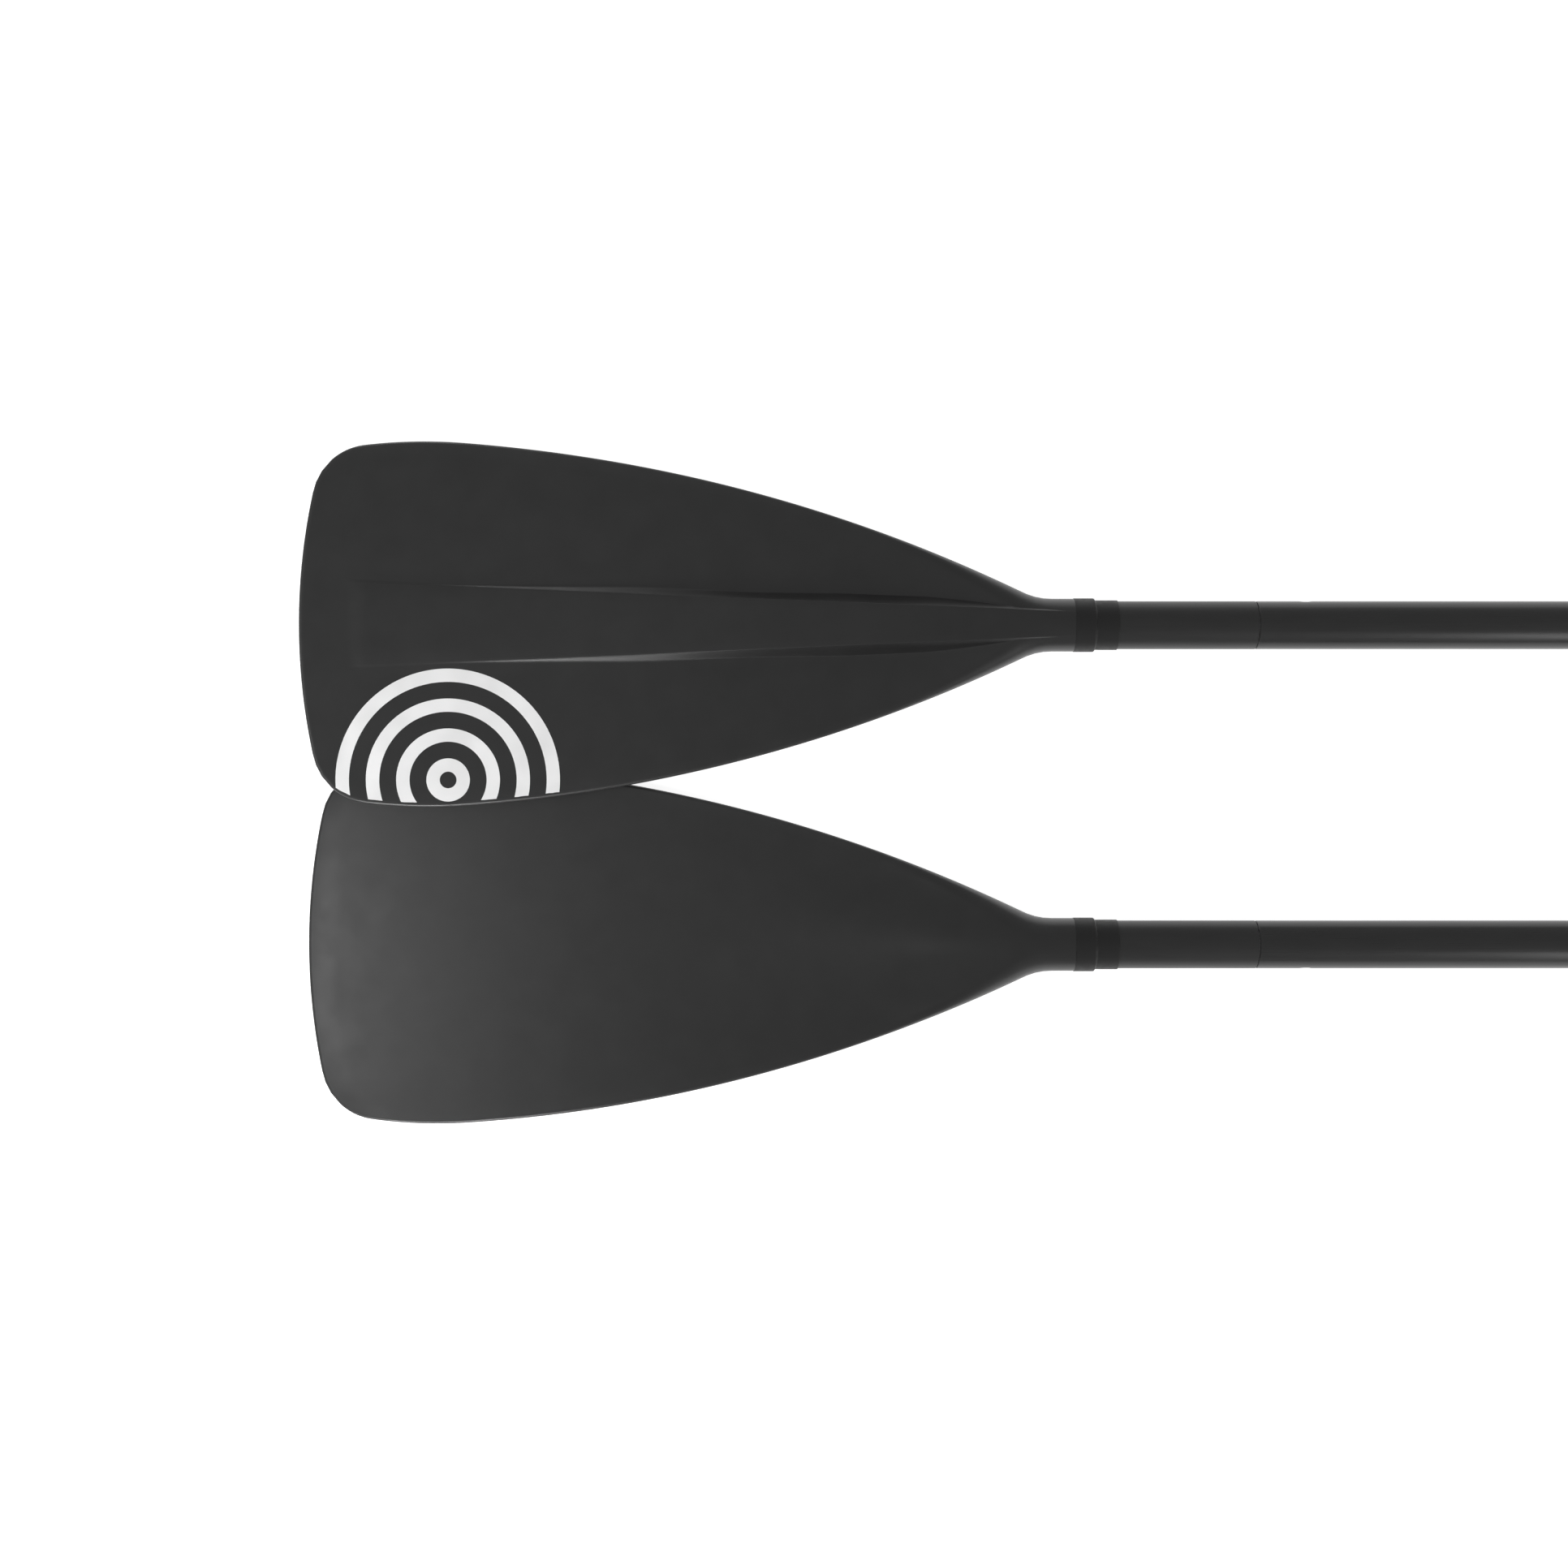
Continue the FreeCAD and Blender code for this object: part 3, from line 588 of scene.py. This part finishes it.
def mark_rim(blade, side):
    """Store on every point how near the blade's edge it is: 1 at the rim, 0 from RIM_WIDTH inwards."""
    origin = Vector(to_row(side, 0, 0, 0))
    u = np.array([(origin.x - point.co.x) / MM for point in blade.data.vertices])
    y = np.array([(point.co.y - origin.y) / MM for point in blade.data.vertices])
    near = np.clip(1 - distance_to_edge(u, y) / RIM_WIDTH, 0, 1)
    blade.data.attributes.new(RIM, "FLOAT", "POINT").data.foreach_set("value", near.astype(np.float32))


# ---------------------------------------------------------------- shrink sleeves

def sleeve_mesh(side):
    """Shrink film over the step from the neck to the tube, slightly puckered at the step."""
    low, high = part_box(f"neck_sleeve_{side}")
    mouth = blade_high.x
    on_neck = (mouth - low.x) / MM
    on_tube = (high.x - mouth) / MM
    neck_outside = (high.z - low.z) / 2 / MM
    turn = np.linspace(0, math.pi / 2, SLEEVE_ROUND_ROWS)
    turn_back = np.linspace(math.pi / 2, 0, SLEEVE_ROUND_ROWS)
    outside_u = np.concatenate([
        [on_neck],
        on_neck - SLEEVE_ROUND * (1 - np.cos(turn[1:])),
        np.linspace(on_neck - SLEEVE_END_GAP, SLEEVE_NECK_ROWS_TO, SLEEVE_NECK_ROWS),
        np.linspace(SLEEVE_STEP_ROWS_FROM, SLEEVE_STEP_ROWS_TO, SLEEVE_STEP_ROWS),
        np.linspace(SLEEVE_TUBE_ROWS_FROM, SLEEVE_END_GAP - on_tube, SLEEVE_TUBE_ROWS),
        -on_tube + SLEEVE_ROUND * (1 - np.cos(turn_back[:-1])),
        [-on_tube],
    ])
    step = smooth((outside_u + SLEEVE_STEP) / SLEEVE_STEP)
    outside_r = SLEEVE_ON_TUBE + (neck_outside - SLEEVE_ON_TUBE) * step
    from_end = np.minimum(on_neck - outside_u, outside_u + on_tube)
    short_of_flat = 1 - np.clip(from_end / SLEEVE_ROUND, 0, 1)
    outside_r -= SLEEVE_ROUND * (1 - np.sqrt(1 - short_of_flat**2))
    inside = (
        (-on_tube, SLEEVE_IN_TUBE),
        (SLEEVE_STEP_INSIDE, SLEEVE_IN_TUBE),
        (SLEEVE_STEP_INSIDE, SLEEVE_IN_NECK),
        (on_neck, SLEEVE_IN_NECK),
    )
    shell = bmesh.new()
    angles = np.linspace(0, 2 * math.pi, SLEEVE_SEGMENTS, endpoint=False)
    waves = sum(height * np.sin(count * angles + turned) for count, height, turned in SLEEVE_WAVES)

    def ring(u, radii):
        return [
            shell.verts.new(to_row(side, u, r * math.cos(angle), r * math.sin(angle)))
            for r, angle in zip(radii, angles)
        ]

    rings = []
    for u, r in zip(outside_u, outside_r):
        pucker = math.exp(-(((u - SLEEVE_PUCKER_AT) / SLEEVE_PUCKER_REACH) ** 2))
        rings.append(ring(u, r + SLEEVE_PUCKER * pucker * (waves - 1)))
    for u, r in inside:
        rings.append(ring(u, np.full(SLEEVE_SEGMENTS, r)))
    join_closed(shell, rings + rings[:1])
    return finish_mesh(shell, f"shrink_sleeve_{side}", SLEEVE_SHARP_ANGLE)


# ---------------------------------------------------------------- button springs

def leaf_line(length, height):
    """Middle line of a V-shaped leaf from its foot's end round the bend to its top end, along + i up."""
    foot = length + 1j * SPRING_SHEET / 2
    top = length - SPRING_STAGGER + 1j * (height - SPRING_SHEET / 2)
    centre = SPRING_BEND + SPRING_SHEET / 2 + 1j * height / 2
    lower, upper = foot - centre, top - centre
    start = np.angle(lower) - math.acos(SPRING_BEND / abs(lower))
    end = np.angle(upper) + math.acos(SPRING_BEND / abs(upper)) - 2 * math.pi
    bend = centre + SPRING_BEND * np.exp(1j * np.linspace(start, end, SPRING_BEND_POINTS))
    return np.concatenate([[foot], bend, [top]])


def spring_stand(node, up):
    """Middle of the face that a spring stands on, and the height of its CAD node along up."""
    low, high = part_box(node)
    height = abs((high - low).dot(up))
    return (low + high) / 2 - up * height / 2, height


def leaf_spring(name, node, up):
    """Leaf spring in the place of its CAD node, with its foot down and its top arm towards the button."""
    low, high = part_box(node)
    size = high - low
    stand, height = spring_stand(node, up)
    across = Vector((1, 0, 0)).cross(up)
    half_side = across * abs(size.dot(across)) / 2
    foot = Vector((low.x, stand.y, stand.z))
    line = leaf_line(size.x / MM, height / MM)
    along = np.gradient(line)
    offsets = 1j * along / np.abs(along) * SPRING_SHEET / 2
    shell = bmesh.new()
    rings = []
    for point, offset in zip(line, offsets):
        corners = ((point + offset, 1), (point + offset, -1), (point - offset, -1), (point - offset, 1))
        ring = []
        for spot, side in corners:
            place = foot + Vector((spot.real * MM, 0, 0)) + up * (spot.imag * MM) + half_side * side
            ring.append(shell.verts.new(place))
        rings.append(ring)
    join_closed(shell, rings)
    shell.faces.new(rings[0])
    shell.faces.new(rings[-1])
    return finish_mesh(shell, name)


# ---------------------------------------------------------------- printed mark

def mark_spot(radius, angle):
    return MARK_CENTRE + radius * np.exp(1j * angle)


def meets_edge(radius, start, towards):
    """Angle at which an arc of the mark, going from start, comes too near the blade's edge."""
    for angle in np.arange(start, towards, math.copysign(MARK_ANGLE_STEP, towards - start)):
        spot = mark_spot(radius, angle)
        if -spot.imag > half_width(spot.real) - MARK_MARGIN:
            return angle
    return towards


def mark_mesh():
    """Generic print on half A's back face: rings that spread from a point near the blade's edge."""
    shell = bmesh.new()
    for inner, outer in MARK_RINGS:
        rows = []
        for radius in np.linspace(inner, outer, MARK_RADII):
            first = meets_edge(radius, math.pi / 2, -math.pi / 2)
            last = meets_edge(radius, math.pi / 2, 3 * math.pi / 2)
            rows.append(mark_spot(radius, np.linspace(first, last, MARK_ARC_POINTS)))
        rows = np.array(rows)
        inset = distance_to_edge(rows.real, rows.imag)
        z = face_heights(rows.real, np.abs(rows.imag), inset)[0]
        sheets = []
        for lift in (MARK_LIFT, -MARK_LIFT):
            spots = zip(np.ravel(rows.real), np.ravel(rows.imag), np.ravel(z + lift))
            made = [shell.verts.new(to_row("a", *spot)) for spot in spots]
            sheets.append(np.array(made, dtype=object).reshape(rows.shape))
        for sheet in sheets:
            join_open(shell, sheet)
        rims = [
            np.concatenate([sheet[0], sheet[1:, -1], sheet[-1, -2::-1], sheet[-2:0:-1, 0]])
            for sheet in sheets
        ]
        join_closed(shell, rims)
    return finish_mesh(shell, "printed_mark")


# ---------------------------------------------------------------- materials

# Wear away from the rim, as a share, and the width of a foam cell, in metres.
WORN_ALL_OVER = 0.25
FOAM_CELL = 0.0012


def shader_of(material):
    return material.node_tree.nodes["Principled BSDF"]


def grey(value):
    return value, value, value


def surface(name, colour, roughness, metallic=0):
    """New material with one shader, ready for its detail."""
    material = bpy.data.materials.new(name)
    material.use_nodes = True
    shader = shader_of(material)
    shader.inputs["Base Color"].default_value = (*colour, 1)
    shader.inputs["Roughness"].default_value = roughness
    shader.inputs["Metallic"].default_value = metallic
    return material


def noise(material, size, stretch=(1, 1, 1), detail=3):
    """Noise that stays put on the piece, with features of about this size, in metres."""
    nodes, links = material.node_tree.nodes, material.node_tree.links
    place = nodes.new("ShaderNodeTexCoord")
    scaled = nodes.new("ShaderNodeMapping")
    scaled.inputs["Scale"].default_value = [1 / (size * s) for s in stretch]
    texture = nodes.new("ShaderNodeTexNoise")
    texture.inputs["Scale"].default_value = 1
    texture.inputs["Detail"].default_value = detail
    links.new(place.outputs["Object"], scaled.inputs["Vector"])
    links.new(scaled.outputs["Vector"], texture.inputs["Vector"])
    return texture.outputs["Fac"]


def between(material, factor, low, high, start=0.3, end=0.7):
    """A number that goes from low to high as the factor goes from start to end."""
    ranged = material.node_tree.nodes.new("ShaderNodeMapRange")
    ranged.inputs["From Min"].default_value = start
    ranged.inputs["From Max"].default_value = end
    ranged.inputs["To Min"].default_value = low
    ranged.inputs["To Max"].default_value = high
    material.node_tree.links.new(factor, ranged.inputs["Value"])
    return ranged.outputs["Result"]


def vary_colour(material, factor, dark, light, start=0.35, end=0.65):
    """Colour that goes from dark to light with the factor."""
    ramp = material.node_tree.nodes.new("ShaderNodeValToRGB")
    ramp.color_ramp.elements[0].position = start
    ramp.color_ramp.elements[0].color = (*dark, 1)
    ramp.color_ramp.elements[1].position = end
    ramp.color_ramp.elements[1].color = (*light, 1)
    material.node_tree.links.new(factor, ramp.inputs["Fac"])
    material.node_tree.links.new(ramp.outputs["Color"], shader_of(material).inputs["Base Color"])


def vary_roughness(material, factor, low, high):
    ranged = between(material, factor, low, high)
    material.node_tree.links.new(ranged, shader_of(material).inputs["Roughness"])


def add_relief(material, factor, height):
    """Bump of this height, in metres, on top of any that the material has."""
    nodes, links = material.node_tree.nodes, material.node_tree.links
    bump = nodes.new("ShaderNodeBump")
    bump.inputs["Strength"].default_value = 1
    bump.inputs["Distance"].default_value = height
    links.new(factor, bump.inputs["Height"])
    normal = shader_of(material).inputs["Normal"]
    if normal.links:
        links.new(normal.links[0].from_socket, bump.inputs["Normal"])
    links.new(bump.outputs["Normal"], normal)


def blade_nylon():
    """Glass-filled nylon: a fine mould grain, slightly uneven gloss, and a rubbed rim."""
    material = surface("blade_nylon", grey(0.014), roughness=0.36)
    nodes, links = material.node_tree.nodes, material.node_tree.links
    rim = nodes.new("ShaderNodeAttribute")
    rim.attribute_name = RIM
    scuffs = nodes.new("ShaderNodeMath")
    scuffs.operation = "MULTIPLY"
    links.new(rim.outputs["Fac"], scuffs.inputs[0])
    links.new(noise(material, size=0.004, detail=5), scuffs.inputs[1])
    worn = nodes.new("ShaderNodeMath")
    worn.operation = "MULTIPLY_ADD"
    worn.inputs[1].default_value = WORN_ALL_OVER
    links.new(noise(material, size=0.02), worn.inputs[0])
    links.new(scuffs.outputs[0], worn.inputs[2])
    vary_colour(material, worn.outputs[0], dark=grey(0.013), light=grey(0.03), start=0.05, end=0.6)
    vary_roughness(material, noise(material, size=0.014, detail=4), low=0.34, high=0.38)
    add_relief(material, noise(material, size=0.0006, detail=2), height=0.0000035)
    add_relief(material, noise(material, size=0.012, detail=2), height=0.00001)
    return material


def shrink_film():
    """Heat-shrunk film: fine wrinkles that run round the sleeve."""
    material = surface("shrink_film", grey(0.0145), roughness=0.5)
    shader_of(material).inputs["Specular IOR Level"].default_value = 0.3
    vary_roughness(material, noise(material, size=0.003, detail=4), low=0.45, high=0.56)
    add_relief(material, noise(material, size=0.0009, stretch=(1, 6, 6)), height=0.000015)
    add_relief(material, noise(material, size=0.0004, detail=2), height=0.000004)
    return material


def drawn_tube(name, colour, low, high):
    """Black anodised tube: faint draw lines along it and fine pits in the anodising."""
    material = surface(name, grey(colour), roughness=(low + high) / 2)
    shader_of(material).inputs["Specular IOR Level"].default_value = 0.42
    lines = noise(material, size=0.0005, stretch=(60, 1, 1))
    vary_roughness(material, lines, low, high)
    patches = noise(material, size=0.006, stretch=(4, 1, 1))
    vary_colour(material, patches, dark=grey(colour * 0.94), light=grey(colour * 1.06))
    add_relief(material, lines, height=0.0000012)
    add_relief(material, noise(material, size=0.0003, detail=2), height=0.0000015)
    return material


def brushed_metal(name, colour, roughness, line=0.0003):
    """Bare metal with fine lines along the shaft, each about as wide as line says, in metres."""
    material = surface(name, grey(colour), roughness, metallic=1)
    lines = noise(material, size=line, stretch=(30, 1, 1))
    vary_colour(material, lines, dark=grey(colour * 0.88), light=grey(colour))
    vary_roughness(material, lines, low=roughness * 0.85, high=roughness * 1.2)
    add_relief(material, lines, height=0.000002)
    return material


def moulded_nylon(name, colour, roughness):
    """Plain moulded nylon with a fine grain and a few rubbed spots."""
    material = surface(name, grey(colour), roughness)
    spots = noise(material, size=0.003, detail=4)
    vary_colour(material, spots, dark=grey(colour * 0.9), light=grey(colour * 1.15))
    rubbed = noise(material, size=0.002, stretch=(8, 1, 1), detail=4)
    vary_roughness(material, rubbed, low=roughness * 0.85, high=roughness * 1.15)
    add_relief(material, noise(material, size=0.0004, detail=2), height=0.000004)
    return material


def seal_rubber():
    """Black rubber, matt and slightly uneven."""
    material = surface("seal_rubber", grey(0.012), roughness=0.62)
    vary_colour(material, noise(material, size=0.002, detail=4), dark=grey(0.01), light=grey(0.018))
    vary_roughness(material, noise(material, size=0.0015, detail=4), low=0.55, high=0.72)
    add_relief(material, noise(material, size=0.0003), height=0.000008)
    return material


def closed_cell_foam():
    """White foam: closed cells about a millimetre across, a little yellowed."""
    material = surface("foam", (0.78, 0.77, 0.72), roughness=0.85)
    nodes, links = material.node_tree.nodes, material.node_tree.links
    place = nodes.new("ShaderNodeTexCoord")
    cells = nodes.new("ShaderNodeTexVoronoi")
    cells.inputs["Scale"].default_value = 1 / FOAM_CELL
    links.new(place.outputs["Object"], cells.inputs["Vector"])
    patches = noise(material, size=0.008)
    vary_colour(material, patches, dark=(0.72, 0.7, 0.62), light=(0.82, 0.81, 0.77))
    add_relief(material, cells.outputs["Distance"], height=0.0002)
    return material


def print_white():
    """Screen print: opaque white ink with a faint unevenness."""
    material = surface("print_white", grey(0.9), roughness=0.45)
    vary_colour(material, noise(material, size=0.03, detail=2), dark=grey(0.84), light=grey(0.94))
    vary_roughness(material, noise(material, size=0.003, detail=4), low=0.4, high=0.5)
    add_relief(material, noise(material, size=0.0005, detail=2), height=0.000003)
    return material


def studio_white():
    """Floor that stays white where it is in the open and keeps a faint shade under the object."""
    material = surface("studio_white", grey(0.7), roughness=0.9)
    shader = shader_of(material)
    shader.inputs["Specular IOR Level"].default_value = 0
    shader.inputs["Emission Color"].default_value = (1, 1, 1, 1)
    shader.inputs["Emission Strength"].default_value = FLOOR_GLOW
    vary_colour(material, noise(material, size=0.2, detail=2), dark=grey(0.69), light=grey(0.71))
    return material


# ---------------------------------------------------------------- the object

def wear(piece, material):
    piece.data.materials.clear()
    piece.data.materials.append(material)


def dress_cad_nodes():
    """Give the CAD nodes that stay in view their materials."""
    by_slot = {
        "matt_tube": drawn_tube("matt_tube", colour=0.019, low=0.36, high=0.44),
        "satin_tube": drawn_tube("satin_tube", colour=0.019, low=0.27, high=0.34),
        "ferrule_metal": brushed_metal("ferrule_metal", colour=0.6, roughness=0.3),
        "ferrule_nylon": moulded_nylon("ferrule_nylon", colour=0.014, roughness=0.42),
        "liner_nylon": moulded_nylon("liner_nylon", colour=0.022, roughness=0.48),
        "button_steel": brushed_metal("button_steel", colour=0.66, roughness=0.16, line=0.0001),
        "seal_rubber": seal_rubber(),
        "foam": closed_cell_foam(),
    }
    for subpart in frame["record"]["subparts"]:
        slot = subpart["material_slot"]
        if slot in by_slot:
            wear(frame["nodes"][subpart["node"]], by_slot[slot])


def add_moulded_pieces():
    """Blades and sleeves in place of their CAD nodes, and the mark on half A's back face."""
    nylon, film = blade_nylon(), shrink_film()
    for side in "ab":
        body = f"half_{side}"
        blade = blade_mesh(side)
        wear(blade, nylon)
        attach(blade, body)
        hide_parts(f"blade_{side}")
        sleeve = sleeve_mesh(side)
        wear(sleeve, film)
        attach(sleeve, body)
        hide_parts(f"neck_sleeve_{side}")
    mark = mark_mesh()
    wear(mark, print_white())
    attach(mark, "half_a")


def add_springs():
    """A leaf spring under each button."""
    steel = brushed_metal("spring_steel", colour=0.48, roughness=0.32)
    for joint in frame["record"]["behaviour"]["joints"]:
        for deforming in joint.get("deforming_nodes", ()):
            node = deforming["node"]
            up = Vector(joint["axis"])
            spring = leaf_spring(f"leaf_{node}", node, up)
            wear(spring, steel)
            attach(spring, joint["parent"])
            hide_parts(node)
            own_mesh(spring)


# ---------------------------------------------------------------- studio

def add_floor():
    """Large pale sheet just under the object."""
    sheet = bmesh.new()
    bmesh.ops.create_grid(sheet, x_segments=1, y_segments=1, size=FLOOR_HALF)
    data = bpy.data.meshes.new("studio_floor")
    sheet.to_mesh(data)
    sheet.free()
    floor = bpy.data.objects.new("studio_floor", data)
    floor.location.z = cad_box[0].z - FLOOR_GAP
    wear(floor, studio_white())
    bpy.context.scene.collection.objects.link(floor)


def add_softbox(name, place, target, size, power, spread=180):
    """Soft light at a place, facing a target, that the camera doesn't see."""
    data = bpy.data.lights.new(name, "AREA")
    data.shape = "RECTANGLE"
    data.size, data.size_y = size
    data.energy = power
    data.spread = math.radians(spread)
    light = bpy.data.objects.new(name, data)
    light.location = place
    light.rotation_euler = (Vector(target) - Vector(place)).to_track_quat("-Z", "Y").to_euler()
    light.visible_camera = False
    bpy.context.scene.collection.objects.link(light)


def light_studio():
    """A dim and nearly even surround, with soft lights for the tips, the shafts and the blades' sides."""
    world = bpy.data.worlds.new("studio_air")
    bpy.context.scene.world = world
    world.use_nodes = True
    nodes, links = world.node_tree.nodes, world.node_tree.links
    place = nodes.new("ShaderNodeTexCoord")
    parts = nodes.new("ShaderNodeSeparateXYZ")
    ramp = nodes.new("ShaderNodeValToRGB")
    ramp.color_ramp.interpolation = "B_SPLINE"
    ramp.color_ramp.elements[0].position = SKY_BRIGHT_TO
    ramp.color_ramp.elements[0].color = (*grey(1), 1)
    ramp.color_ramp.elements[1].position = SKY_DIM_FROM
    ramp.color_ramp.elements[1].color = (*grey(SKY_ZENITH / SKY_HORIZON), 1)
    background = nodes["Background"]
    background.inputs["Strength"].default_value = SKY_HORIZON
    links.new(place.outputs["Generated"], parts.inputs["Vector"])
    links.new(parts.outputs["Z"], ramp.inputs["Fac"])
    links.new(ramp.outputs["Color"], background.inputs["Color"])
    add_softbox("tip_softbox", TIP_LIGHT, TIP_LIGHT_AIM, TIP_LIGHT_SIZE, TIP_LIGHT_POWER)
    add_softbox("shaft_softbox", SHAFT_LIGHT, SHAFT_LIGHT_AIM, SHAFT_LIGHT_SIZE, SHAFT_LIGHT_POWER)
    add_softbox("side_softbox", SIDE_LIGHT, SIDE_LIGHT_AIM, SIDE_LIGHT_SIZE, SIDE_LIGHT_POWER, NARROW)
    add_softbox("fill_softbox", FILL_LIGHT, FILL_LIGHT_AIM, FILL_LIGHT_SIZE, FILL_LIGHT_POWER, NARROW)


def add_camera():
    """Straight down from well above, as in the photograph, with the blades left of the middle."""
    data = bpy.data.cameras.new("camera")
    data.lens = CAMERA_LENS
    data.sensor_width = CAMERA_SENSOR
    camera = bpy.data.objects.new("camera", data)
    shaft_z = (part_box("main_shaft_a")[0].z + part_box("main_shaft_a")[1].z) / 2
    camera.location = (VIEW_MIDDLE, VIEW_MIDDLE_Y, shaft_z + VIEW_WIDTH * CAMERA_LENS / CAMERA_SENSOR)
    bpy.context.scene.collection.objects.link(camera)
    bpy.context.scene.camera = camera
    bpy.context.scene.view_settings.view_transform = "Standard"


dress_cad_nodes()
add_moulded_pieces()
add_springs()
add_floor()
light_studio()
add_camera()
